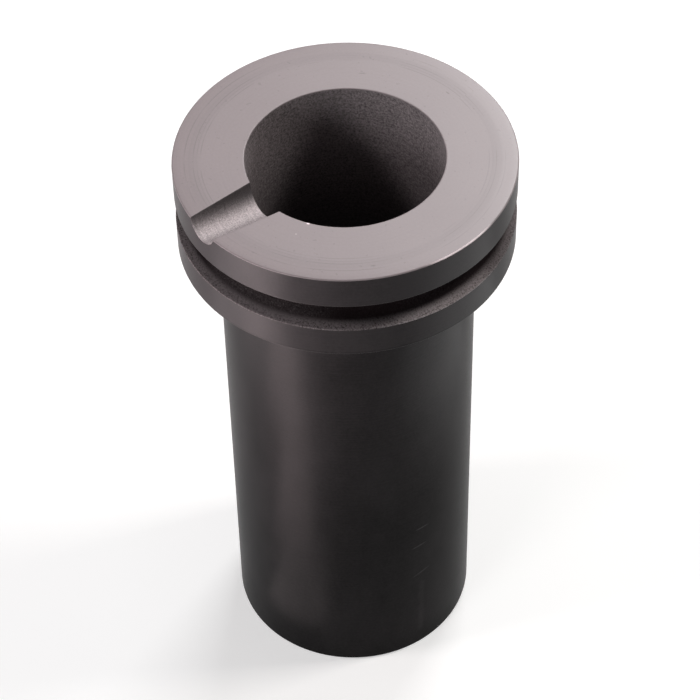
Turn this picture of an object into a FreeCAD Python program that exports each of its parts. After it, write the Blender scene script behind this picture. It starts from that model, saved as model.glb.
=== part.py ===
import FreeCAD, Part
import math
import os

# Graphite melting crucible for a small furnace
#
# One piece, turned and milled from graphite bar. The straight barrel stands in the furnace
# sleeve, and the head above it has two flanges with a half-round tong groove between them.
# A straight bore with a rounded floor holds the melt. A half-round pouring channel is milled
# across the top face, from the bore out to the rim, and narrows on its way out.
# Lengths are millimetres. +Z is up, the axis is Z, the origin is the middle of the base,
# and the pouring channel points along -Y.

# Head
HEAD_DIAMETER = 58.0
UPPER_FLANGE_THICKNESS = 6.2
LOWER_FLANGE_THICKNESS = 5.9
GROOVE_WIDTH = 5.3
GROOVE_DEPTH = 2.65

# Barrel
BARREL_DIAMETER = 44.4
BARREL_LENGTH = 93.6

# Bore
BORE_DIAMETER = 33.7
FLOOR_THICKNESS = 11.0
BORE_FLOOR_RADIUS = 9.0

# Pouring channel: a cut by a tapered cutter that lies along the top face
CHANNEL_RADIUS_AT_BORE = 4.35
CHANNEL_RADIUS_AT_RIM = 3.4
CHANNEL_AXIS_LIFT = 0.9
CHANNEL_OVERRUN = 3.0

# Edges: small chamfers, and a radius in the root under the head
RIM_CHAMFER = 0.3
GROOVE_LIP_CHAMFER = 0.25
MOUTH_CHAMFER = 0.2
BASE_CHAMFER = 0.6
SHOULDER_ROOT_RADIUS = 0.6

# Levels and radii that follow from the sizes above
HEAD_RADIUS = HEAD_DIAMETER / 2
BARREL_RADIUS = BARREL_DIAMETER / 2
BORE_RADIUS = BORE_DIAMETER / 2
SHOULDER_LEVEL = BARREL_LENGTH
GROOVE_LOW_LEVEL = SHOULDER_LEVEL + LOWER_FLANGE_THICKNESS
GROOVE_HIGH_LEVEL = GROOVE_LOW_LEVEL + GROOVE_WIDTH
TOP_LEVEL = GROOVE_HIGH_LEVEL + UPPER_FLANGE_THICKNESS

# How near an edge lies to the ring that it is looked up by
RING_MATCH = 1e-4


def at(radius, level):
    """The point of the turned section at this distance from the axis and this height."""
    return FreeCAD.Vector(radius, 0, level)


def straight(*points):
    """The straight edges that join the points in turn."""
    return [Part.makeLine(start, end) for start, end in zip(points, points[1:])]


def round_stretch(start, middle, end):
    """The round edge that runs through three points."""
    return Part.Arc(start, middle, end).toShape()


def shoulder_root():
    """The quarter round in the corner between the barrel and the head's underside."""
    centre_radius = BARREL_RADIUS + SHOULDER_ROOT_RADIUS
    centre_level = SHOULDER_LEVEL - SHOULDER_ROOT_RADIUS
    reach = SHOULDER_ROOT_RADIUS * math.sqrt(0.5)
    return round_stretch(
        at(BARREL_RADIUS, centre_level),
        at(centre_radius - reach, centre_level + reach),
        at(centre_radius, SHOULDER_LEVEL),
    )


def tong_groove():
    """The half-round section of the tong groove, from its low lip to its high one."""
    middle = (GROOVE_LOW_LEVEL + GROOVE_HIGH_LEVEL) / 2
    return round_stretch(
        at(HEAD_RADIUS, GROOVE_LOW_LEVEL),
        at(HEAD_RADIUS - GROOVE_DEPTH, middle),
        at(HEAD_RADIUS, GROOVE_HIGH_LEVEL),
    )


def bore_floor():
    """The quarter round between the bore's wall and its flat floor."""
    centre_radius = BORE_RADIUS - BORE_FLOOR_RADIUS
    centre_level = FLOOR_THICKNESS + BORE_FLOOR_RADIUS
    reach = BORE_FLOOR_RADIUS * math.sqrt(0.5)
    return round_stretch(
        at(BORE_RADIUS, centre_level),
        at(centre_radius + reach, centre_level - reach),
        at(centre_radius, FLOOR_THICKNESS),
    )


def turned_blank():
    """The solid as it leaves the lathe, with sharp outer corners."""
    barrel = straight(
        at(0, 0),
        at(BARREL_RADIUS, 0),
        at(BARREL_RADIUS, SHOULDER_LEVEL - SHOULDER_ROOT_RADIUS),
    )
    lower_flange = straight(
        at(BARREL_RADIUS + SHOULDER_ROOT_RADIUS, SHOULDER_LEVEL),
        at(HEAD_RADIUS, SHOULDER_LEVEL),
        at(HEAD_RADIUS, GROOVE_LOW_LEVEL),
    )
    top_and_bore = straight(
        at(HEAD_RADIUS, GROOVE_HIGH_LEVEL),
        at(HEAD_RADIUS, TOP_LEVEL),
        at(BORE_RADIUS, TOP_LEVEL),
        at(BORE_RADIUS, FLOOR_THICKNESS + BORE_FLOOR_RADIUS),
    )
    floor_and_axis = straight(
        at(BORE_RADIUS - BORE_FLOOR_RADIUS, FLOOR_THICKNESS),
        at(0, FLOOR_THICKNESS),
        at(0, 0),
    )
    outside = barrel + [shoulder_root()] + lower_flange + [tong_groove()]
    inside = top_and_bore + [bore_floor()] + floor_and_axis
    section = Part.Face(Part.Wire(outside + inside))
    return section.revolve(FreeCAD.Vector(0, 0, 0), FreeCAD.Vector(0, 0, 1), 360)


def ring_edges(solid, radius, level):
    """The full-circle edges of the solid at this radius and this height."""
    found = []
    for edge in solid.Edges:
        if not isinstance(edge.Curve, Part.Circle):
            continue
        centre = edge.Curve.Center
        if abs(edge.Curve.Radius - radius) > RING_MATCH or abs(centre.z - level) > RING_MATCH:
            continue
        if math.hypot(centre.x, centre.y) < RING_MATCH:
            found.append(edge)
    return found


def with_broken_corners(solid):
    """The blank with a small chamfer on every outer corner."""
    corners = (
        (HEAD_RADIUS, TOP_LEVEL, RIM_CHAMFER),
        (HEAD_RADIUS, SHOULDER_LEVEL, RIM_CHAMFER),
        (HEAD_RADIUS, GROOVE_HIGH_LEVEL, GROOVE_LIP_CHAMFER),
        (HEAD_RADIUS, GROOVE_LOW_LEVEL, GROOVE_LIP_CHAMFER),
        (BORE_RADIUS, TOP_LEVEL, MOUTH_CHAMFER),
        (BARREL_RADIUS, 0, BASE_CHAMFER),
    )
    for radius, level, chamfer in corners:
        solid = solid.makeChamfer(chamfer, ring_edges(solid, radius, level))
    return solid


def channel_cutter():
    """The tapered round tool that mills the pouring channel, from inside the bore past the rim."""
    wall = HEAD_RADIUS - BORE_RADIUS
    taper = (CHANNEL_RADIUS_AT_BORE - CHANNEL_RADIUS_AT_RIM) / wall
    # The bore's wall curves back beside the channel's middle, by no more than this
    curve_back = BORE_RADIUS - math.sqrt(BORE_RADIUS**2 - CHANNEL_RADIUS_AT_BORE**2)
    inner_run = CHANNEL_OVERRUN + curve_back
    start_radius = CHANNEL_RADIUS_AT_BORE + taper * inner_run
    end_radius = CHANNEL_RADIUS_AT_RIM - taper * CHANNEL_OVERRUN
    start = FreeCAD.Vector(0, inner_run - BORE_RADIUS, TOP_LEVEL + CHANNEL_AXIS_LIFT)
    length = inner_run + wall + CHANNEL_OVERRUN
    return Part.makeCone(start_radius, end_radius, length, start, FreeCAD.Vector(0, -1, 0))


def crucible():
    """The finished crucible."""
    return with_broken_corners(turned_blank()).cut(channel_cutter())


def main():
    os.makedirs("parts", exist_ok=True)
    shape = crucible()
    shape.exportStep("parts/crucible.step")


main()
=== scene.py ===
"""Looks, light and camera for a turned graphite crucible.

A geometry tree turns the fine surface from one section and mills the pouring channel across
its top, and each stretch of the section wears its own graphite finish. Lengths are metres and
angles are degrees, unless a name says otherwise.
"""

import logging
import math
from dataclasses import dataclass, field
from enum import Enum
from typing import Any, Optional, Union

import bpy
from mathutils import Matrix, Vector


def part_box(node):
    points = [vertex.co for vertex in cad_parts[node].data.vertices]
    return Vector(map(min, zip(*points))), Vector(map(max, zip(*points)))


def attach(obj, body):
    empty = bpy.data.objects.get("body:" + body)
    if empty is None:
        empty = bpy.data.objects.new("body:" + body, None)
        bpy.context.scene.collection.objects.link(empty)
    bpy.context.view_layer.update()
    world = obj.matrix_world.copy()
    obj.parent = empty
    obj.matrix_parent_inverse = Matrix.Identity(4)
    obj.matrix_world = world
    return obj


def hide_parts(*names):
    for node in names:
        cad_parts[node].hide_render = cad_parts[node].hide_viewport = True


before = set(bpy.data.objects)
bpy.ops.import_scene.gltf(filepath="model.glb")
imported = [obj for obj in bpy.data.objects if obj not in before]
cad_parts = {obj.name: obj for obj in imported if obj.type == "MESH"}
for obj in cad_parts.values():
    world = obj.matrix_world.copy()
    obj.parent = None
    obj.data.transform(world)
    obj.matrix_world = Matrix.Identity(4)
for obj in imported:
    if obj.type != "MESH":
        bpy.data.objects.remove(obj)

LOG = logging.getLogger("crucible")

# Names, units and small distances
MM = 0.001
NODE = "crucible"
BODY = "root"
WHITE = (1.0, 1.0, 1.0, 1.0)
UP = Vector((0.0, 0.0, 1.0))
JOIN_DISTANCE = 0.0001 * MM

Colour = tuple[float, float, float, float]
Operand = Union["Signal", float]
Sockets = dict[Union[int, str], Any]


def grey(level: float, warmth: float, rose: float = 0.2) -> Colour:
    """A grey at this linear level, with more red by its warmth and more blue by its rose."""
    return (level * (1 + warmth), level, level * (1 + warmth * rose), 1.0)


class Surface(Enum):
    """The stretches of the crucible's surface, by how each was cut."""

    UNDERSIDE = 0
    TURNED = 1
    GROOVED = 2
    BORED = 3
    FACED = 4
    EDGE = 5
    MILLED = 6


# Arithmetic for shaders and geometry
class Signal:
    """A node's output that takes part in arithmetic: each operator adds one Math node."""

    def __init__(self, bench: "Bench", socket: bpy.types.NodeSocket) -> None:
        """Wraps a socket of the bench's tree."""
        self.bench = bench
        self.socket = socket

    def _maths(self, operation: str, *operands: Operand) -> "Signal":
        """Adds a Math node of this operation, with the operands as its inputs in order."""
        settings = {"operation": operation}
        return self.bench.signal("ShaderNodeMath", settings, dict(enumerate(operands)))

    def __add__(self, other: Operand) -> "Signal":
        """self + other."""
        return self._maths("ADD", self, other)

    def __radd__(self, other: Operand) -> "Signal":
        """other + self."""
        return self._maths("ADD", other, self)

    def __sub__(self, other: Operand) -> "Signal":
        """self - other."""
        return self._maths("SUBTRACT", self, other)

    def __rsub__(self, other: Operand) -> "Signal":
        """other - self."""
        return self._maths("SUBTRACT", other, self)

    def __mul__(self, other: Operand) -> "Signal":
        """self * other."""
        return self._maths("MULTIPLY", self, other)

    def __rmul__(self, other: Operand) -> "Signal":
        """other * self."""
        return self._maths("MULTIPLY", other, self)

    def __truediv__(self, other: Operand) -> "Signal":
        """self / other."""
        return self._maths("DIVIDE", self, other)

    def __mod__(self, other: Operand) -> "Signal":
        """The remainder of self / other."""
        return self._maths("MODULO", self, other)

    def __neg__(self) -> "Signal":
        """Minus self."""
        return self._maths("MULTIPLY", self, -1.0)

    def __abs__(self) -> "Signal":
        """The size of self without its sign."""
        return self._maths("ABSOLUTE", self)

    def __lt__(self, other: Operand) -> "Signal":
        """1 where self < other, else 0."""
        return self._maths("LESS_THAN", self, other)

    def __gt__(self, other: Operand) -> "Signal":
        """1 where self > other, else 0."""
        return self._maths("GREATER_THAN", self, other)

    def floor(self) -> "Signal":
        """The whole number at or below self."""
        return self._maths("FLOOR", self)

    def sign(self) -> "Signal":
        """1, 0 or -1, as self is above, at or below 0."""
        return self._maths("SIGN", self)

    def root(self) -> "Signal":
        """The square root."""
        return self._maths("SQRT", self)

    def sine(self) -> "Signal":
        """The sine of self in radians."""
        return self._maths("SINE", self)

    def cosine(self) -> "Signal":
        """The cosine of self in radians."""
        return self._maths("COSINE", self)

    def arcsine(self) -> "Signal":
        """The angle in radians whose sine is self."""
        return self._maths("ARCSINE", self)

    def arccosine(self) -> "Signal":
        """The angle in radians whose cosine is self."""
        return self._maths("ARCCOSINE", self)

    def bearing(self, other: Operand) -> "Signal":
        """The angle in radians of the point (other, self)."""
        return self._maths("ARCTAN2", self, other)

    def least(self, other: Operand) -> "Signal":
        """The smaller of the two."""
        return self._maths("MINIMUM", self, other)

    def most(self, other: Operand) -> "Signal":
        """The larger of the two."""
        return self._maths("MAXIMUM", self, other)

    def ramp(self, start: Operand, end: Operand) -> "Signal":
        """Runs smoothly from 0 at start to 1 at end, and stays level outside them."""
        sockets = {"Value": self, "From Min": start, "From Max": end}
        return self.bench.signal("ShaderNodeMapRange", {"interpolation_type": "SMOOTHSTEP"}, sockets)

    def band(self, start: float, end: float, soft: float) -> "Signal":
        """1 between start and end, falling to 0 over a soft distance outside them."""
        return self.ramp(start - soft, start) * (1 - self.ramp(end, end + soft))


class Bench:
    """Adds nodes to one tree, of shaders or of geometry."""

    def __init__(self, tree: bpy.types.NodeTree) -> None:
        """Takes the tree that the nodes go into."""
        self.tree = tree

    @staticmethod
    def _find(sockets: Any, key: Union[int, str]) -> bpy.types.NodeSocket:
        """The socket at this place, or the one in use with this name."""
        named = (socket for socket in sockets if socket.enabled and socket.name == key)
        return sockets[key] if isinstance(key, int) else next(named)

    def _feed(self, socket: bpy.types.NodeSocket, value: Any) -> None:
        """Links an input or sets it.

        Args:
            socket: The input.
            value: The signal or socket that it is linked to, or its own value.
        """
        source = value.socket if isinstance(value, Signal) else value
        if isinstance(source, bpy.types.NodeSocket):
            self.tree.links.new(source, socket)
        else:
            socket.default_value = source

    def node(
        self,
        kind: str,
        settings: Optional[dict[str, Any]] = None,
        sockets: Optional[Sockets] = None,
    ) -> bpy.types.Node:
        """Adds a node.

        Args:
            kind: The node's type.
            settings: Its own settings, which are set first.
            sockets: Values or links for its inputs, by name or place.

        Returns:
            The node.
        """
        made = self.tree.nodes.new(kind)
        for name, value in (settings or {}).items():
            setattr(made, name, value)
        for key, value in (sockets or {}).items():
            self._feed(self._find(made.inputs, key), value)
        return made

    def output(
        self,
        kind: str,
        settings: Optional[dict[str, Any]] = None,
        sockets: Optional[Sockets] = None,
        outlet: Union[int, str] = 0,
    ) -> bpy.types.NodeSocket:
        """Adds a node, as node() does, and returns one of its outputs."""
        return self._find(self.node(kind, settings, sockets).outputs, outlet)

    def signal(
        self,
        kind: str,
        settings: Optional[dict[str, Any]] = None,
        sockets: Optional[Sockets] = None,
        outlet: Union[int, str] = 0,
    ) -> Signal:
        """Adds a node, as node() does, and wraps one of its outputs for arithmetic."""
        return Signal(self, self.output(kind, settings, sockets, outlet))

    def vector(self, x: Operand, y: Operand, z: Operand) -> bpy.types.NodeSocket:
        """The vector of three values."""
        return self.output("ShaderNodeCombineXYZ", None, {"X": x, "Y": y, "Z": z})

    def split(self, vector: bpy.types.NodeSocket) -> tuple[Signal, Signal, Signal]:
        """The three values of a vector."""
        parts = self.node("ShaderNodeSeparateXYZ", None, {0: vector})
        return tuple(Signal(self, socket) for socket in parts.outputs)

    def blend(self, mask: Operand, low: Any, high: Any) -> bpy.types.NodeSocket:
        """Mixes two colours, the low one where the mask is 0 and the high one where it is 1."""
        sockets = {"Factor": mask, "A": low, "B": high}
        return self.output("ShaderNodeMix", {"data_type": "RGBA"}, sockets, "Result")

    def noise(self, place: Any, per_metre: float, detail: float = 2.0, rough: float = 0.5) -> Signal:
        """Cloudy noise from 0 to 1, with detail as its finer layers and rough as their strength."""
        sockets = {"Vector": place, "Scale": per_metre, "Detail": detail, "Roughness": rough}
        return self.signal("ShaderNodeTexNoise", None, sockets)

    def lines(self, place: Operand, per_metre: float, detail: float = 2.0) -> Signal:
        """Noise that changes along one value only, from 0 to 1."""
        sockets = {"W": place, "Scale": per_metre, "Detail": detail}
        return self.signal("ShaderNodeTexNoise", {"noise_dimensions": "1D"}, sockets)


# The turned section
@dataclass(frozen=True)
class Row:
    """One row of the turned mesh: a point of the section, and the surface that ends there."""

    radius: float
    height: float
    surface: Surface


@dataclass
class Section:
    """The crucible's turned section, from the middle of its base round to its bore's floor.

    The outer sizes come from the frame's box, and the inner ones repeat the solid's own.
    """

    head_radius: float
    top_level: float
    shoulder_level: float
    barrel_radius: float
    bore_radius: float
    lower_flange: float = 5.9 * MM
    groove_width: float = 5.3 * MM
    floor_level: float = 11.0 * MM
    bore_floor_radius: float = 9.0 * MM
    rim_easing: float = 0.2 * MM
    lip_easing: float = 0.22 * MM
    lip_turn: float = 80.0
    mouth_easing: float = 0.16 * MM
    root_easing: float = 0.6 * MM
    base_easing: float = 0.55 * MM
    easing_steps: int = 4
    groove_steps: int = 22
    floor_steps: int = 14
    hold: float = 0.12 * MM
    pitch: float = 4.0 * MM
    rows: list[Row] = field(default_factory=list)

    def _straight(self, radius: float, height: float, surface: Surface) -> None:
        """Draws a straight stretch, with a row held close to each end to keep it flat.

        Args:
            radius: The radius where it ends.
            height: The height where it ends.
            surface: Its surface.
        """
        start = Vector((self.rows[-1].radius, self.rows[-1].height))
        end = Vector((radius, height))
        length = (end - start).length
        steps = max(2, round(length / self.pitch))
        places = [length * step / steps for step in range(1, steps)]
        if start.x > 0:
            places.insert(0, self.hold)
        if end.x > 0:
            places.append(length - self.hold)
        for place in [*places, length]:
            point = start.lerp(end, place / length)
            self.rows.append(Row(point.x, point.y, surface))

    def _arc(
        self,
        middle: tuple[float, float],
        size: float,
        span: tuple[float, float],
        steps: int,
        surface: Surface,
    ) -> None:
        """Draws a round stretch, which starts where the section has come to.

        Args:
            middle: Radius and height of its centre.
            size: Its own radius.
            span: Its first and last angle, from level and away from the axis.
            steps: How many rows it takes.
            surface: Its surface.
        """
        for step in range(1, steps + 1):
            turn = math.radians(span[0] + (span[1] - span[0]) * step / steps)
            radius = middle[0] + size * math.cos(turn)
            height = middle[1] + size * math.sin(turn)
            self.rows.append(Row(radius, height, surface))

    def _outside(self) -> None:
        """Draws the base, the barrel, the shoulder and the lower flange's wall."""
        barrel, head, low = self.barrel_radius, self.head_radius, self.shoulder_level
        base, root, rim, lip = self.base_easing, self.root_easing, self.rim_easing, self.lip_easing
        groove_low = low + self.lower_flange
        self.rows.append(Row(0.0, 0.0, Surface.UNDERSIDE))
        self._straight(barrel - base, 0.0, Surface.UNDERSIDE)
        self._arc((barrel - base, base), base, (-90, 0), self.easing_steps, Surface.TURNED)
        self._straight(barrel, low - root, Surface.TURNED)
        self._arc((barrel + root, low - root), root, (180, 90), self.easing_steps, Surface.TURNED)
        self._straight(head - rim, low, Surface.TURNED)
        self._arc((head - rim, low + rim), rim, (-90, 0), self.easing_steps, Surface.TURNED)
        self._straight(head, groove_low - lip, Surface.TURNED)
        middle = (head - lip, groove_low - lip)
        self._arc(middle, lip, (0, self.lip_turn), self.easing_steps, Surface.GROOVED)

    def _head(self) -> None:
        """Draws the tong groove, the upper flange's wall and the top face."""
        head, top = self.head_radius, self.top_level
        rim, lip, mouth = self.rim_easing, self.lip_easing, self.mouth_easing
        groove = self.groove_width / 2
        middle = self.shoulder_level + self.lower_flange + groove
        turn = math.degrees(math.asin(lip / groove))
        span = (270 - turn, 90 + turn)
        self._arc((head, middle), groove, span, self.groove_steps, Surface.GROOVED)
        centre = (head - lip, middle + groove + lip)
        self._arc(centre, lip, (-self.lip_turn, 0), self.easing_steps, Surface.TURNED)
        self._straight(head, top - rim, Surface.TURNED)
        self._arc((head - rim, top - rim), rim, (0, 90), self.easing_steps, Surface.EDGE)
        self._straight(self.bore_radius + mouth, top, Surface.FACED)

    def _bore(self) -> None:
        """Draws the mouth's eased corner, the bore's wall and its rounded floor."""
        bore, mouth, turn = self.bore_radius, self.mouth_easing, self.bore_floor_radius
        corner = (bore + mouth, self.top_level - mouth)
        self._arc(corner, mouth, (90, 180), self.easing_steps, Surface.EDGE)
        self._straight(bore, self.floor_level + turn, Surface.BORED)
        self._arc((bore - turn, self.floor_level + turn), turn, (0, -90), self.floor_steps, Surface.BORED)
        self._straight(0.0, self.floor_level, Surface.BORED)

    def draw(self) -> None:
        """Draws the whole section, in the order that makes faces turned from it point outwards."""
        self.rows.clear()
        self._outside()
        self._head()
        self._bore()


# The lathe, which is a geometry tree
@dataclass(frozen=True)
class ChannelCut:
    """The pouring channel's cutter, a cone that lies across the top along -Y."""

    radius_at_bore: float = 4.35 * MM
    radius_at_rim: float = 3.4 * MM
    axis_lift: float = 0.9 * MM
    reach_down: float = 5.5 * MM


@dataclass(frozen=True)
class Setup:
    """What the lathe's tree works with: its bench, the section's line and its named inputs."""

    bench: Bench
    line: bpy.types.NodeSocket
    size: dict[str, Signal]

    def half(self) -> Signal:
        """How many columns lie on each side of the channel's middle."""
        return self.size["Channel Columns"] + self.size["Round Columns"]

    def cell(self, rows: Signal) -> tuple[Signal, Signal]:
        """Where a point or a face lies in the mesh.

        Args:
            rows: How many of them go to a column.

        Returns:
            Its row and its column, counted from 0.
        """
        index = self.bench.signal("GeometryNodeInputIndex")
        rounding_guard = 0.0001
        return index % rows, (index / rows + rounding_guard).floor()

    def named(self, name: str, kind: str) -> bpy.types.NodeSocket:
        """The attribute of this name and data type."""
        sockets = {"Name": name}
        return self.bench.output(
            "GeometryNodeInputNamedAttribute", {"data_type": kind}, sockets, "Attribute"
        )

    def along(self, value: bpy.types.NodeSocket, kind: str, point: Signal) -> bpy.types.NodeSocket:
        """Reads a value at a point of the section's line.

        Args:
            value: The value on the line.
            kind: Its data type.
            point: The point's number.

        Returns:
            The value there.
        """
        settings = {"data_type": kind, "domain": "POINT"}
        sockets = {"Geometry": self.line, "Value": value, "Index": point}
        return self.bench.output("GeometryNodeSampleIndex", settings, sockets, "Value")

    def coat(
        self, shape: bpy.types.NodeSocket, chosen: Signal, material: bpy.types.Material
    ) -> bpy.types.NodeSocket:
        """The mesh with a material on its chosen faces."""
        sockets = {"Geometry": shape, "Selection": chosen, "Material": material}
        return self.bench.output("GeometryNodeSetMaterial", None, sockets)


@dataclass
class Lathe:
    """The geometry tree that turns the section and mills the channel."""

    section: Section
    channel: ChannelCut
    materials: dict[Surface, bpy.types.Material]
    channel_columns: int = 18
    round_columns: int = 132
    crowding: float = 0.15
    settling_passes: int = 2

    def _sizes(self) -> dict[str, Union[int, float]]:
        """The tree's named inputs and their values."""
        return {
            "Rows": len(self.section.rows),
            "Channel Columns": self.channel_columns,
            "Round Columns": self.round_columns,
            "Crowding": self.crowding,
            "Bore Radius": self.section.bore_radius,
            "Head Radius": self.section.head_radius,
            "Top Level": self.section.top_level,
            "Channel Radius At Bore": self.channel.radius_at_bore,
            "Channel Radius At Rim": self.channel.radius_at_rim,
            "Channel Axis Lift": self.channel.axis_lift,
            "Channel Reach Down": self.channel.reach_down,
        }

    def _outline(self) -> bpy.types.Object:
        """Draws the section in the scene.

        Returns:
            A bare line of its points, each with the number of its surface.
        """
        mesh = bpy.data.meshes.new("crucible_section")
        points = [(row.radius, 0.0, row.height) for row in self.section.rows]
        edges = [(place, place + 1) for place in range(len(points) - 1)]
        mesh.from_pydata(points, edges, [])
        numbers = mesh.attributes.new("surface", "INT", "POINT")
        numbers.data.foreach_set("value", [row.surface.value for row in self.section.rows])
        line = bpy.data.objects.new("crucible_section", mesh)
        bpy.context.scene.collection.objects.link(line)
        return line

    def _crossing(
        self, size: dict[str, Signal], radius: Signal, tilt: Signal
    ) -> tuple[Signal, Signal]:
        """Where a line along the channel's wall crosses a radius.

        Args:
            size: The tree's inputs by name.
            radius: The radius, from the bore's to the head's.
            tilt: The line's place round the cutter, in radians from straight down.

        Returns:
            The angle round the crucible from -Y, and the cutter's radius there.
        """
        at_bore, at_rim = size["Channel Radius At Bore"], size["Channel Radius At Rim"]
        taper = (at_bore - at_rim) / (size["Head Radius"] - size["Bore Radius"])
        cutter = at_bore - (radius - size["Bore Radius"]) * taper
        for _ in range(self.settling_passes):
            across = cutter * tilt.sine()
            outward = (radius * radius - across * across).root()
            cutter = at_bore - (outward - size["Bore Radius"]) * taper
        return (cutter * tilt.sine() / radius).arcsine(), cutter

    def _place(self, setup: Setup) -> bpy.types.NodeSocket:
        """Where each point of the mesh goes.

        The middle columns follow lines along the channel's wall, so that its brim is a clean
        edge. The others go round the rest, closest together beside the channel.

        Args:
            setup: What the tree works with.

        Returns:
            The place.
        """
        bench, size = setup.bench, setup.size
        row, column = setup.cell(size["Rows"])
        column = column - setup.half()
        position = bench.output("GeometryNodeInputPosition")
        radius, _, height = bench.split(setup.along(position, "FLOAT_VECTOR", row))

        share = (abs(column) / size["Channel Columns"]).least(1.0)
        reach = radius.most(size["Bore Radius"]).least(size["Head Radius"])
        lift = size["Channel Axis Lift"]
        brim = (lift / size["Channel Radius At Bore"]).arccosine()
        _, cutter = self._crossing(size, reach, brim)
        brim = (lift / cutter).arccosine()
        angle, cutter = self._crossing(size, reach, brim * share)
        beyond = ((abs(column) - size["Channel Columns"]) / size["Round Columns"]).most(0.0)
        spread = beyond * (size["Crowding"] + (1 - size["Crowding"]) * beyond)
        turn = (angle + (math.pi - angle) * spread) * column.sign()

        top = size["Top Level"]
        low = top - size["Channel Reach Down"]
        trough = top + lift - cutter * (brim * share).cosine()
        squeeze = (trough.least(top) - low) / (top - low)
        milled = height + ((height - low).most(0.0)) * (squeeze - 1) * (1 - (beyond > 0.0))
        return bench.vector(radius * turn.sine(), -(radius * turn.cosine()), milled)

    def _clothe(self, setup: Setup, shape: bpy.types.NodeSocket) -> bpy.types.NodeSocket:
        """Gives each face the material of its surface, and marks the milled ones.

        Args:
            setup: What the tree works with.
            shape: The turned mesh.

        Returns:
            The mesh with its materials.
        """
        bench, size = setup.bench, setup.size
        strip, column = setup.cell(size["Rows"] - 1)
        surface = Signal(bench, setup.along(setup.named("surface", "INT"), "INT", strip + 1))
        for kind, material in self.materials.items():
            shape = setup.coat(shape, abs(surface - float(kind.value)) < 0.5, material)
        beside = abs(column + 0.5 - setup.half())
        milled = (beside < size["Channel Columns"]) * (surface > Surface.BORED.value + 0.5)
        settings = {"data_type": "FLOAT", "domain": "FACE"}
        sockets = {"Geometry": shape, "Name": "milled", "Value": milled}
        return bench.output("GeometryNodeStoreNamedAttribute", settings, sockets)

    def _tree(self) -> bpy.types.NodeTree:
        """Builds the geometry tree.

        Returns:
            The tree, whose inputs are the section's line and the named sizes.
        """
        tree = bpy.data.node_groups.new("crucible_lathe", "GeometryNodeTree")
        tree.interface.new_socket("Geometry", in_out="INPUT", socket_type="NodeSocketGeometry")
        for name, value in self._sizes().items():
            kind = "NodeSocketInt" if isinstance(value, int) else "NodeSocketFloat"
            tree.interface.new_socket(name, in_out="INPUT", socket_type=kind)
        tree.interface.new_socket("Geometry", in_out="OUTPUT", socket_type="NodeSocketGeometry")
        bench = Bench(tree)
        entry = bench.node("NodeGroupInput")
        size = {name: Signal(bench, entry.outputs[name]) for name in self._sizes()}
        setup = Setup(bench, entry.outputs["Geometry"], size)

        grid = {"Vertices X": setup.half() * 2 + 1, "Vertices Y": size["Rows"]}
        shape = bench.output("GeometryNodeMeshGrid", None, grid, "Mesh")
        placed = {"Geometry": shape, "Position": self._place(setup)}
        shape = bench.output("GeometryNodeSetPosition", None, placed)
        shape = self._clothe(setup, shape)
        joined = {"Geometry": shape, "Distance": JOIN_DISTANCE}
        shape = bench.output("GeometryNodeMergeByDistance", None, joined)
        shape = bench.output("GeometryNodeSetShadeSmooth", None, {"Geometry": shape})
        shape = bench.output("GeometryNodeRealizeInstances", None, {"Geometry": shape})
        milled = Signal(bench, setup.named("milled", "FLOAT")) > 0.5
        shape = setup.coat(shape, milled, self.materials[Surface.MILLED])
        bench.node("NodeGroupOutput", None, {"Geometry": shape})
        return tree

    def turn(self, name: str) -> bpy.types.Object:
        """Runs the tree and keeps its result as a plain mesh.

        Args:
            name: The finished piece's name.

        Returns:
            The piece, with no modifier left on it.
        """
        line = self._outline()
        tree = self._tree()
        sizes = self._sizes()
        modifier = line.modifiers.new("Lathe", "NODES")
        modifier.node_group = tree
        for item in tree.interface.items_tree:
            if item.in_out == "INPUT" and item.name in sizes:
                modifier[item.identifier] = sizes[item.name]
        graph = bpy.context.evaluated_depsgraph_get()
        mesh = bpy.data.meshes.new_from_object(line.evaluated_get(graph), depsgraph=graph)
        line.modifiers.remove(modifier)
        bpy.data.objects.remove(line)
        mesh.name = name
        piece = bpy.data.objects.new(name, mesh)
        bpy.context.scene.collection.objects.link(piece)
        return piece


# The finishes
@dataclass(frozen=True)
class Spot:
    """Where a shader stands on the crucible, in the coordinates that its marks follow."""

    bench: Bench
    place: bpy.types.NodeSocket
    x: Signal
    y: Signal
    height: Signal
    radius: Signal
    turn: Signal

    @classmethod
    def on(cls, bench: Bench) -> "Spot":
        """Reads the object's own coordinates.

        Args:
            bench: The material's bench.

        Returns:
            The place, its height, its distance from the axis and its angle from -Y, in radians.
        """
        place = bench.output("ShaderNodeTexCoord", None, None, "Object")
        x, y, height = bench.split(place)
        return cls(bench, place, x, y, height, (x * x + y * y).root(), x.bearing(-y))

    def stretch(self, start: float, end: float, fade: float) -> Signal:
        """1 between two angles round the crucible, in degrees, fading out over a third."""
        return self.turn.band(*(math.radians(angle) for angle in (start, end, fade)))


@dataclass(frozen=True)
class Nick:
    """A small mark of handling that follows the turning.

    Its level is a height on a wall and a radius on a face. Its tone is what it adds to the
    share of the light tone, so a negative one is a dark mark.
    """

    turn: float
    level: float
    length: float
    width: float
    tone: float
    slope: float = 0.0

    def mask(self, spot: Spot, level: Signal) -> Signal:
        """How much of the mark is here.

        Args:
            spot: The place on the crucible.
            level: The coordinate that the mark's level is measured in.

        Returns:
            1 in its middle, falling to 0 at its edge.
        """
        along = (spot.turn - math.radians(self.turn)) * spot.radius
        across = level - self.level - along * self.slope
        along, across = along * (2 / self.length), across * (2 / self.width)
        return (1 - (along * along + across * across)).most(0.0)


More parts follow.
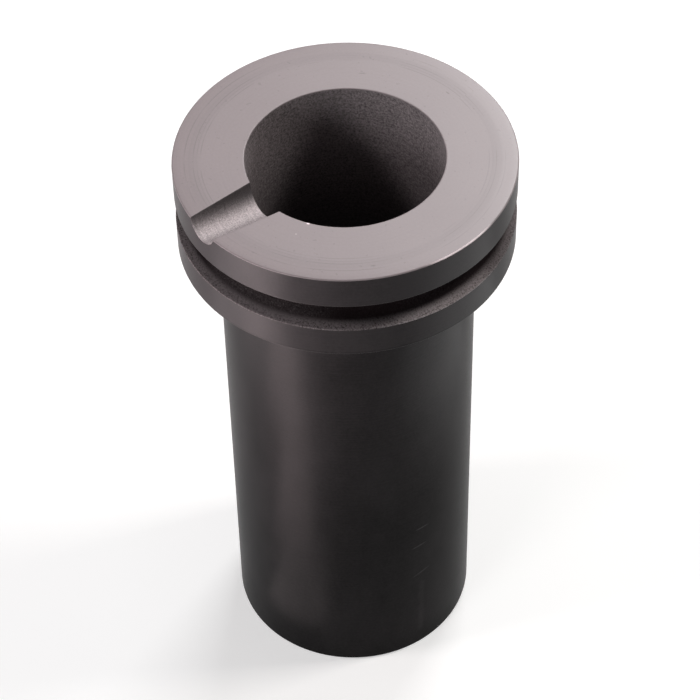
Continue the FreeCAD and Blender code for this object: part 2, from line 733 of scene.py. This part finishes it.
@dataclass(frozen=True)
class Finish:
    """One cut of the graphite: its tones, its gloss, its tool marks and its grain."""

    name: str
    dark: Colour
    light: Colour
    roughness: float
    gloss: float
    mark_pitch: float = 0.5 * MM
    mark_depth: float = 0.01 * MM
    mark_tone: float = 0.3
    grain_size: float = 0.5 * MM
    grain_depth: float = 0.02 * MM
    grain_tone: float = 0.5
    cloud_tone: float = 0.4
    glint_tone: float = 0.0
    nicks: tuple[Nick, ...] = ()
    mark_climb: float = 0.02 * MM
    mark_rough: float = 0.1
    grain_rough: float = 0.15
    cloud_size: float = 22.0 * MM
    fleck_share: float = 1.7
    nick_depth: float = 0.02 * MM

    def level(self, spot: Spot) -> Signal:
        """The coordinate that steps from one tool mark to the next: on a wall, the height."""
        return spot.height

    def touch(self, spot: Spot, share: Signal) -> Signal:
        """Changes the share of the light tone where this cut has more to show; here nothing."""
        return share

    def swell(self, spot: Spot) -> Operand:
        """A gentle rise and fall of the surface, in metres; here nothing."""
        return 0.0

    def material(self) -> bpy.types.Material:
        """Builds the finish.

        Returns:
            Its material, with every pattern on Object coordinates.
        """
        made = bpy.data.materials.new(self.name)
        made.use_nodes = True
        made.node_tree.nodes.clear()
        bench = Bench(made.node_tree)
        spot = Spot.on(bench)
        level = self.level(spot)
        marks = bench.lines(level + spot.turn * self.mark_climb, 1 / self.mark_pitch, 3.0)
        grain = bench.noise(spot.place, 1 / self.grain_size, 3.0, 0.6)
        cloud = bench.noise(spot.place, 1 / self.cloud_size, 3.0, 0.55)
        # Lighter flecks of the grain, also painted bright as their glints.
        fleck = bench.noise(spot.place, self.fleck_share / self.grain_size, 1.0).ramp(0.6, 0.72)
        share = 0.5 + (marks - 0.5) * self.mark_tone + (grain - 0.5) * self.grain_tone
        share = share + (cloud - 0.5) * self.cloud_tone + fleck * self.glint_tone
        share = self.touch(spot, share)
        relief = marks * self.mark_depth + grain * self.grain_depth + self.swell(spot)
        for nick in self.nicks:
            mask = nick.mask(spot, level)
            share = share + mask * nick.tone
            relief = relief - mask * self.nick_depth
        rough = self.roughness + (marks - 0.5) * self.mark_rough + (grain - 0.5) * self.grain_rough
        bump = {"Strength": 1.0, "Distance": 1.0, "Height": relief}
        sockets = {
            "Base Color": bench.blend(share.most(0.0).least(1.0), self.dark, self.light),
            "Roughness": rough,
            "Specular IOR Level": self.gloss,
            "Normal": bench.output("ShaderNodeBump", None, bump),
        }
        shader = bench.output("ShaderNodeBsdfPrincipled", None, sockets)
        bench.node("ShaderNodeOutputMaterial", None, {"Surface": shader})
        return made


@dataclass(frozen=True)
class TurnedSide(Finish):
    """The outer walls, turned with fine lines, with painted shade that darkens them towards the foot."""

    rub_turn: float = 89.4
    rub_top: float = 18.0 * MM
    rub_foot: float = 5.0 * MM
    rub_width: float = 1.6 * MM
    rub_ragged: float = 1.2 * MM
    rub_tone: float = 0.25
    smear_size: float = 14.0 * MM
    smear_stretch: float = 0.5
    smear_tone: float = 0.9
    own_tone: float = -0.25
    flange_level: float = 93.7 * MM
    flange_fade: float = 0.6 * MM
    flange_light_tone: float = 0.34
    head_level: float = 100.0 * MM
    height_shade_tone: float = 0.4
    dust_tone: float = 2.0

    def touch(self, spot: Spot, share: Signal) -> Signal:
        """Adds long soft smears up the walls, one faint rub near the foot, specks of dust on the lower
        flange, and painted shade that darkens the walls towards the foot and leaves the flanges a step
        lighter.

        Args:
            spot: The place on the crucible.
            share: The share of the light tone so far.

        Returns:
            The changed share.
        """
        bench, height = spot.bench, spot.height
        smear_place = bench.vector(spot.x, spot.y, height * self.smear_stretch)
        smear = bench.noise(smear_place, 1 / self.smear_size, 3.0, 0.6)
        arc = (spot.turn - math.radians(self.rub_turn)) * spot.radius
        ragged = bench.noise(spot.place, 1 / (1.5 * MM)) * self.rub_ragged
        rub = 1 - (abs(arc) + ragged).ramp(self.rub_width / 2, self.rub_width)
        rub = rub * height.band(self.rub_foot, self.rub_top, 2.0 * MM)
        # Painted shade and light: the walls darken towards the foot, and the flanges are painted a step
        # lighter than the barrel.
        flange = height.ramp(self.flange_level, self.flange_level + self.flange_fade)
        painted_height_light = height.ramp(0.0, self.head_level) * self.height_shade_tone + flange * self.flange_light_tone
        dust = bench.noise(spot.place, 1 / (0.7 * MM), 0.0).ramp(0.79, 0.84)
        dust = dust * height.band(self.flange_level, self.head_level, 1.0 * MM)
        share = share + self.own_tone + (smear - 0.5) * self.smear_tone
        return share + rub * self.rub_tone + painted_height_light + dust * self.dust_tone


@dataclass(frozen=True)
class GroovedWall(Finish):
    """The tong groove: torn grain, with painted shade in its depth and painted light along one stretch of
    its lower lip.
    """

    lip_level: float = 99.5 * MM
    dark_level: float = 100.3 * MM
    painted_light_from: float = 80.0
    painted_light_to: float = 101.0
    painted_light_fade: float = 16.0
    thin_from: float = 5.0
    thin_to: float = 38.0
    ragged: float = 0.5 * MM
    own_tone: float = 0.7
    painted_light_tone: float = 0.7
    depth_shade: float = 0.97
    depth_shade_thinned: float = 0.13

    def touch(self, spot: Spot, share: Signal) -> Signal:
        """Paints shade in the groove's depth, a little less over one stretch, and paints light on one
        stretch of the lip.

        Args:
            spot: The place on the crucible.
            share: The share of the light tone so far.

        Returns:
            The changed share.
        """
        # Painted shade: the groove's depth is darkened where shade falls in it, a little less over one
        # stretch.
        depth = (spot.height + (share - 0.5) * self.ragged).ramp(self.lip_level, self.dark_level)
        # Painted light: one stretch of the lower lip is painted lighter where light from the right falls
        # on it.
        painted_light = spot.stretch(self.painted_light_from, self.painted_light_to, self.painted_light_fade) * self.painted_light_tone
        thin = spot.stretch(self.thin_from, self.thin_to, self.painted_light_fade) * self.depth_shade_thinned
        return share * (painted_light + self.own_tone) * (1 - depth * (self.depth_shade - thin))


@dataclass(frozen=True)
class FacedTop(Finish):
    """A flat face, faced in the lathe to a satin with rings round the axis."""

    ring_radius: float = 25.4 * MM
    ring_width: float = 1.3 * MM
    ring_tone: float = 0.14
    hair_from: float = 24.0 * MM
    hair_to: float = 27.0 * MM
    hair_climb: float = 0.05 * MM
    hair_tone: float = 0.32
    pit_size: float = 0.8 * MM
    pit_tone: float = 0.3
    crown_radius: float = 25.0 * MM
    crown_fall: float = 10.0
    tone_span: float = 1.0

    def level(self, spot: Spot) -> Signal:
        """The distance from the axis, so that the marks are rings."""
        return spot.radius

    def touch(self, spot: Spot, share: Signal) -> Signal:
        """Adds the faint dark ring near the rim, broken hairlines along it, and pits.

        Args:
            spot: The place on the crucible.
            share: The share of the light tone so far.

        Returns:
            The changed share.
        """
        bench, radius = spot.bench, spot.radius
        half = self.ring_width / 2
        ring = radius.band(self.ring_radius - half, self.ring_radius + half, 0.5 * MM)
        broken = bench.noise(spot.place, 1 / (9 * MM)).ramp(0.42, 0.62)
        hair = bench.lines(radius + spot.turn * self.hair_climb, 1 / (0.3 * MM), 0.0).ramp(0.6, 0.68)
        hair = hair * radius.band(self.hair_from, self.hair_to, 0.4 * MM) * broken
        pits = bench.noise(spot.place, 1 / self.pit_size, 1.0).ramp(0.71, 0.76)
        share = share - ring * self.ring_tone - hair * self.hair_tone - pits * self.pit_tone
        return share.most(0.0).least(1.0) * self.tone_span

    def swell(self, spot: Spot) -> Operand:
        """The face's outermost zone, which falls away very slightly towards the rim."""
        beyond = (spot.radius - self.crown_radius).most(0.0)
        return beyond * beyond * -self.crown_fall


@dataclass(frozen=True)
class HighlitEdge(Finish):
    """The top's two edges, eased by hand, the outer one with a painted highlight over one stretch."""

    painted_light_from: float = 88.0
    painted_light_to: float = 103.0
    painted_light_fade: float = 9.0
    outer_from: float = 22.0 * MM
    outer_full: float = 24.0 * MM
    own_tone: float = 0.12
    painted_light_tone: float = 0.75

    def level(self, spot: Spot) -> Signal:
        """The distance from the axis, which tells the two edges apart."""
        return spot.radius

    def touch(self, spot: Spot, share: Signal) -> Signal:
        """Paints the highlight on one stretch of the outer edge.

        Args:
            spot: The place on the crucible.
            share: The share of the light tone so far.

        Returns:
            The changed share.
        """
        # Painted highlight on one stretch of the outer edge.
        painted_light = spot.stretch(self.painted_light_from, self.painted_light_to, self.painted_light_fade)
        painted_light = painted_light * spot.radius.ramp(self.outer_from, self.outer_full)
        return share * self.own_tone + painted_light * self.painted_light_tone


@dataclass(frozen=True)
class BoredWall(Finish):
    """The bore, with painted shade that darkens its wall towards its floor."""

    pale_level: float = 111.0 * MM
    dark_level: float = 80.0 * MM
    deep_tone: float = 0.3
    pale_tone: float = 0.9

    def touch(self, spot: Spot, share: Signal) -> Signal:
        """Paints shade on the wall, darker with its depth."""
        # Painted shade: the wall darkens the deeper it lies in the bore.
        unshaded = spot.height.ramp(self.dark_level, self.pale_level)
        return share * (unshaded * self.pale_tone + self.deep_tone)


@dataclass(frozen=True)
class MilledChannel(Finish):
    """The pouring channel, cut along -Y, with bright broken grain and painted shade on its walls."""

    shade_start: float = -1.2 * MM
    shade_end: float = -3.8 * MM
    shade_tone: float = 1.42
    near_start: float = -0.9 * MM
    near_end: float = 1.2 * MM
    near_shade_tone: float = 0.7
    own_tone: float = 1.55
    slant: float = 0.15

    def level(self, spot: Spot) -> Signal:
        """The distance along the channel, so that the marks run across it."""
        return spot.y + spot.x * self.slant

    def touch(self, spot: Spot, share: Signal) -> Signal:
        """Paints shade on the wall on the -X side, and a little on the other.

        Args:
            spot: The place on the crucible.
            share: The share of the light tone so far.

        Returns:
            The changed share.
        """
        # Painted shade: darker towards the -X brim, and also darker on the +X side.
        shade = spot.x.ramp(self.shade_start, self.shade_end) * self.shade_tone
        near = spot.x.ramp(self.near_start, self.near_end) * self.near_shade_tone
        return share * (self.own_tone - shade - near)


# The crucible
FINISHES: dict[Surface, Finish] = {
    Surface.UNDERSIDE: FacedTop(
        "graphite_base",
        dark=grey(0.02, 0.08),
        light=grey(0.07, 0.08),
        roughness=0.5,
        gloss=0.2,
    ),
    Surface.TURNED: TurnedSide(
        "graphite_turned",
        dark=grey(0.007, 0.07, 0.5),
        light=grey(0.034, 0.08, 0.5),
        roughness=0.34,
        gloss=0.02,
        mark_pitch=0.25 * MM,
        mark_depth=0.008 * MM,
        grain_depth=0.004 * MM,
        # A nick's turn, level, length, width, tone and slope
        nicks=(
            Nick(89.7, 34.7 * MM, 3.4 * MM, 0.5 * MM, 1.1),
            Nick(88.1, 29.8 * MM, 3.8 * MM, 0.5 * MM, 1.0, 0.05),
            Nick(89.4, 21.6 * MM, 4.4 * MM, 0.55 * MM, 1.1, 0.2),
        ),
    ),
    Surface.GROOVED: GroovedWall(
        "graphite_grooved",
        dark=grey(0.006, 0.6),
        light=grey(0.38, 0.12),
        roughness=0.5,
        gloss=0.0,
        grain_size=0.32 * MM,
        grain_depth=0.05 * MM,
        grain_tone=1.8,
        glint_tone=0.9,
        nicks=(Nick(93.6, 102.7 * MM, 0.35 * MM, 0.35 * MM, 6.0),),
    ),
    Surface.EDGE: HighlitEdge(
        "graphite_edge",
        dark=grey(0.15, 0.2),
        light=grey(0.95, 0.16),
        roughness=0.36,
        gloss=0.4,
        mark_depth=0.001 * MM,
        grain_depth=0.002 * MM,
        # A chip at the mouth: a real mark, painted bright as its glint.
        nicks=(Nick(33.5, 17.0 * MM, 0.6 * MM, 0.4 * MM, 1.6),),
    ),
    # The faced top's tones are lighter than the walls': partly its faced satin, partly painted light for
    # the sheen that the top face catches.
    Surface.FACED: FacedTop(
        "graphite_faced",
        dark=grey(0.18, 0.2),
        light=grey(0.95, 0.2),
        roughness=0.4,
        gloss=0.6,
        mark_pitch=0.4 * MM,
        mark_depth=0.003 * MM,
        mark_tone=0.16,
        grain_depth=0.004 * MM,
        grain_tone=0.35,
        tone_span=0.143,
        nicks=(
            Nick(-133.8, 20.9 * MM, 1.6 * MM, 0.3 * MM, -0.13),
            Nick(-174.4, 23.3 * MM, 1.0 * MM, 0.35 * MM, -0.12),
            Nick(63.9, 26.2 * MM, 0.9 * MM, 0.4 * MM, -0.12),
            Nick(30.7, 20.0 * MM, 0.4 * MM, 0.35 * MM, 0.25),
            # The nick at 33.5 is a chip at the mouth: a real mark, painted bright as its glint.
            Nick(33.5, 17.1 * MM, 0.6 * MM, 0.4 * MM, 1.6),
        ),
    ),
    Surface.BORED: BoredWall(
        "graphite_bored",
        dark=grey(0.03, 0.12),
        light=grey(0.34, 0.14),
        roughness=0.7,
        gloss=0.02,
        grain_size=0.36 * MM,
        grain_depth=0.03 * MM,
        grain_tone=1.5,
    ),
    Surface.MILLED: MilledChannel(
        "graphite_milled",
        dark=grey(0.025, 0.2),
        light=grey(0.55, 0.13),
        roughness=0.5,
        gloss=0.2,
        grain_size=0.24 * MM,
        grain_depth=0.04 * MM,
        grain_tone=1.0,
        glint_tone=0.3,
    ),
}


@dataclass
class Crucible:
    """The whole crucible: one piece of graphite, turned, bored and milled."""

    lowest: Vector
    highest: Vector
    shoulder_level: float = 93.6 * MM
    barrel_radius: float = 22.2 * MM
    bore_radius: float = 16.85 * MM
    channel: ChannelCut = field(default_factory=ChannelCut)

    def build(self) -> bpy.types.Object:
        """Turns the piece and puts it in the place of the frame's node.

        Returns:
            The piece.
        """
        section = Section(
            head_radius=(self.highest.x - self.lowest.x) / 2,
            top_level=self.highest.z,
            shoulder_level=self.shoulder_level,
            barrel_radius=self.barrel_radius,
            bore_radius=self.bore_radius,
        )
        section.draw()
        materials = {kind: finish.material() for kind, finish in FINISHES.items()}
        piece = Lathe(section, self.channel, materials).turn("crucible_turned")
        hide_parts(NODE)
        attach(piece, BODY)
        return piece


# The studio
@dataclass(frozen=True)
class Lamp:
    """A square softbox that faces the crucible's head."""

    name: str
    turn: float
    elevation: float
    side: float
    watts: float
    colour: tuple[float, float, float] = (1.0, 1.0, 1.0)
    distance: float = 1.0
    spread: float = 180.0


@dataclass(frozen=True)
class Card:
    """A glowing card that lies on the floor beside the crucible and lights its walls from below.

    A honeycomb over it keeps its light from leaving flat along the floor.
    """

    name: str
    turn: float
    near: float
    far: float
    width: float
    watts: float
    colour: tuple[float, float, float] = (1.0, 1.0, 1.0)
    spread: float = 120.0


@dataclass
class Studio:
    """The floor, the light and the camera, set out round the crucible."""

    target: Vector
    azimuth: float = 55.0
    elevation: float = 43.0349
    distance: float = 0.44092
    lens: float = 135.573
    yaw: float = 0.0132
    pitch: float = -4.211
    roll: float = -1.2396
    film_width: float = 36.0
    card_level: float = 2.0 * MM
    floor_half: float = 3.0
    floor_tone: float = 0.75
    floor_lift: float = 0.45
    room: float = 0.04
    lamps: tuple[Lamp, ...] = (
        Lamp("softbox_above", turn=0.0, elevation=89.0, side=0.3, watts=0.7),
        Lamp("softbox_behind", turn=160.0, elevation=40.0, side=0.4, watts=4.9),
        Lamp("softbox_right", turn=100.0, elevation=47.0, side=0.24, watts=4.1, colour=(1.0, 0.96, 0.92)),
        Lamp("softbox_left", turn=-80.0, elevation=40.0, side=0.22, watts=2.8, colour=(1.0, 0.93, 0.94)),
        Lamp("softbox_front", turn=-40.0, elevation=12.0, side=0.35, watts=2.7),
    )
    # A card's turn, near end, far end, width, watts and colour
    cards: tuple[Card, ...] = (
        Card("card_front_foot", -38.0, 0.0262, 0.043, 0.022, 0.0019, (1.0, 0.86, 0.86)),
        Card("card_front_near", -46.0, 0.046, 0.078, 0.028, 0.0185, (1.0, 0.82, 0.83)),
        Card("card_front_mid", -55.0, 0.078, 0.125, 0.042, 0.1, (1.0, 0.82, 0.83)),
        Card("card_front_far", -57.0, 0.13, 0.19, 0.085, 0.66, (1.0, 0.84, 0.86)),
        Card("card_left", -74.0, 0.085, 0.2, 0.07, 0.11, (1.0, 0.9, 0.91)),
        Card("card_right", 76.0, 0.07, 0.17, 0.1, 0.085),
    )

    @staticmethod
    def _spoke(azimuth: float, elevation: float) -> Vector:
        """The direction from the crucible towards this azimuth and elevation."""
        turn, rise = math.radians(azimuth), math.radians(elevation)
        return Vector((math.sin(turn) * math.cos(rise), -math.cos(turn) * math.cos(rise), math.sin(rise)))

    @staticmethod
    def _facing(place: Vector, back: Vector) -> Matrix:
        """A place and turn whose own -Z looks along -back, with its X level."""
        side = UP.cross(back).normalized()
        return Matrix.Translation(place) @ Matrix((side, back.cross(side), back)).transposed().to_4x4()

    @staticmethod
    def _seen(bench: Bench) -> Signal:
        """Tells the rays that show the paper and the room as white.

        Args:
            bench: The bench of the material or the world.

        Returns:
            1 for what the camera sees straight, in a reflection or through glass, else 0.
        """
        rays = bench.node("ShaderNodeLightPath").outputs
        kinds = ("Is Camera Ray", "Is Glossy Ray", "Is Transmission Ray")
        straight, reflected, sent = (Signal(bench, rays[kind]) for kind in kinds)
        return (straight + reflected + sent).least(1.0)

    def floor(self) -> None:
        """Lays the pale floor that keeps the crucible's shadow."""
        half = self.floor_half
        mesh = bpy.data.meshes.new("studio_floor")
        corners = [(-half, -half, 0.0), (half, -half, 0.0), (half, half, 0.0), (-half, half, 0.0)]
        mesh.from_pydata(corners, [], [(0, 1, 2, 3)])
        piece = bpy.data.objects.new("studio_floor", mesh)
        bpy.context.scene.collection.objects.link(piece)
        made = bpy.data.materials.new("studio_paper")
        made.use_nodes = True
        made.node_tree.nodes.clear()
        bench = Bench(made.node_tree)
        tone = (self.floor_tone, self.floor_tone, self.floor_tone, 1.0)
        paper = bench.output("ShaderNodeBsdfDiffuse", None, {"Color": tone})
        strength = self._seen(bench) * self.floor_lift
        lift = bench.output("ShaderNodeEmission", None, {"Strength": strength})
        both = bench.output("ShaderNodeAddShader", None, {0: paper, 1: lift})
        bench.node("ShaderNodeOutputMaterial", None, {"Surface": both})
        mesh.materials.append(made)

    def _hang(self, lamp: Union[Lamp, Card], size: tuple[float, float], stance: Matrix) -> None:
        """Adds one rectangle of light.

        Args:
            lamp: Its name, strength and colour.
            size: Its width and height.
            stance: Its place and turn.
        """
        data = bpy.data.lights.new(lamp.name, "AREA")
        data.shape = "RECTANGLE"
        data.size, data.size_y = size
        data.spread = math.radians(lamp.spread)
        data.energy = lamp.watts
        data.color = lamp.colour
        item = bpy.data.objects.new(lamp.name, data)
        item.matrix_world = stance
        item.visible_camera = False
        bpy.context.scene.collection.objects.link(item)

    def light(self) -> None:
        """Hangs the softboxes, lays the cards and sets the world's own light."""
        for lamp in self.lamps:
            spoke = self._spoke(self.azimuth + lamp.turn, lamp.elevation)
            stance = self._facing(self.target + spoke * lamp.distance, spoke)
            self._hang(lamp, (lamp.side, lamp.side), stance)
        for card in self.cards:
            spoke = self._spoke(self.azimuth + card.turn, 0.0)
            turn = Matrix((spoke.cross(UP), spoke, -UP)).transposed().to_4x4()
            middle = spoke * ((card.near + card.far) / 2) + UP * self.card_level
            size = (card.width, card.far - card.near)
            self._hang(card, size, Matrix.Translation(middle) @ turn)
        world = bpy.data.worlds.new("studio_room")
        world.use_nodes = True
        world.node_tree.nodes.clear()
        bench = Bench(world.node_tree)
        strength = self.room + self._seen(bench) * (1.0 - self.room)
        sky = bench.output("ShaderNodeBackground", None, {"Strength": strength, "Color": WHITE})
        bench.node("ShaderNodeOutputWorld", None, {"Surface": sky})
        bpy.context.scene.world = world

    def camera(self) -> None:
        """Sets the camera where the photograph was taken from."""
        back = self._spoke(self.azimuth, self.elevation)
        level = self._facing(self.target + back * self.distance, back)
        yaw = Matrix.Rotation(math.radians(-self.yaw), 4, "Y")
        pitch = Matrix.Rotation(math.radians(self.pitch), 4, "X")
        roll = Matrix.Rotation(math.radians(self.roll), 4, "Z")
        data = bpy.data.cameras.new("studio_camera")
        data.lens = self.lens
        data.sensor_width = self.film_width
        item = bpy.data.objects.new("studio_camera", data)
        item.matrix_world = level @ yaw @ pitch @ roll
        bpy.context.scene.collection.objects.link(item)
        bpy.context.scene.camera = item


def main() -> None:
    """Builds the crucible and the studio round it."""
    logging.basicConfig(level=logging.INFO, format="%(name)s: %(message)s")
    bpy.context.scene.view_settings.view_transform = "Standard"
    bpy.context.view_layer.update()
    lowest, highest = (Vector(corner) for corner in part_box(NODE))
    piece = Crucible(lowest, highest).build()
    LOG.info("%s: %d faces", piece.name, len(piece.data.polygons))
    studio = Studio(target=Vector((0.0, 0.0, highest.z)))
    studio.floor()
    studio.light()
    studio.camera()
    LOG.info("studio: %d softboxes and %d cards", len(studio.lamps), len(studio.cards))


if __name__ == "__main__":
    main()
